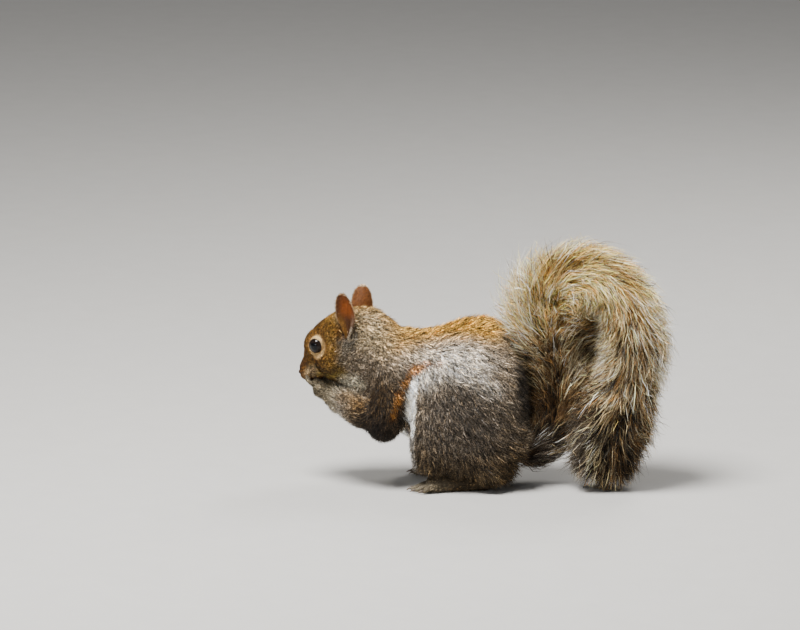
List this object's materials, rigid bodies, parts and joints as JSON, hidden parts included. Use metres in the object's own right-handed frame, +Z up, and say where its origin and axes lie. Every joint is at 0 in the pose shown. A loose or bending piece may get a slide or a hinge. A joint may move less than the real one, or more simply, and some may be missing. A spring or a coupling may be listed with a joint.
{
  "type": "grey squirrel",
  "caption": "Life-size grey squirrel crouched on its hind feet with forepaws at its mouth and its bushy tail arched up behind and down to the floor, as a still animal model.",
  "frame": {"origin": "centre of the bounding box in X and Y, on the floor that the hind feet and the tail tip rest on", "axes": "+X to the animal's left, +Y to its rear, so it faces -Y, +Z up"},
  "size_m": [0.0976, 0.2825, 0.1868],
  "materials": {
    "body_fur": "soft grizzled grey fur",
    "head_fur": "short ochre-brown fur",
    "tail_fur": "long banded fur with pale tips",
    "ear": "thin skin with very short fur",
    "eye": "wet gloss, nearly black",
    "hand": "very short silvery fur",
    "foot": "very short silvery fur"
  },
  "bodies": {
    "root": {"ear_left": "ear", "ear_right": "ear", "eye_left": "eye", "eye_right": "eye", "foot_left": "foot", "foot_right": "foot", "forearm_left": "body_fur", "forearm_right": "body_fur", "hand_left": "hand", "hand_right": "hand", "head": "head_fur", "neck": "body_fur", "shin_left": "body_fur", "shin_right": "body_fur", "tail_1": "tail_fur", "tail_2": "tail_fur", "tail_3": "tail_fur", "tail_4": "tail_fur", "tail_5": "tail_fur", "tail_6": "tail_fur", "thigh_left": "body_fur", "thigh_right": "body_fur", "trunk": "body_fur", "upper_arm_left": "body_fur", "upper_arm_right": "body_fur"}
  },
  "joints": []
}
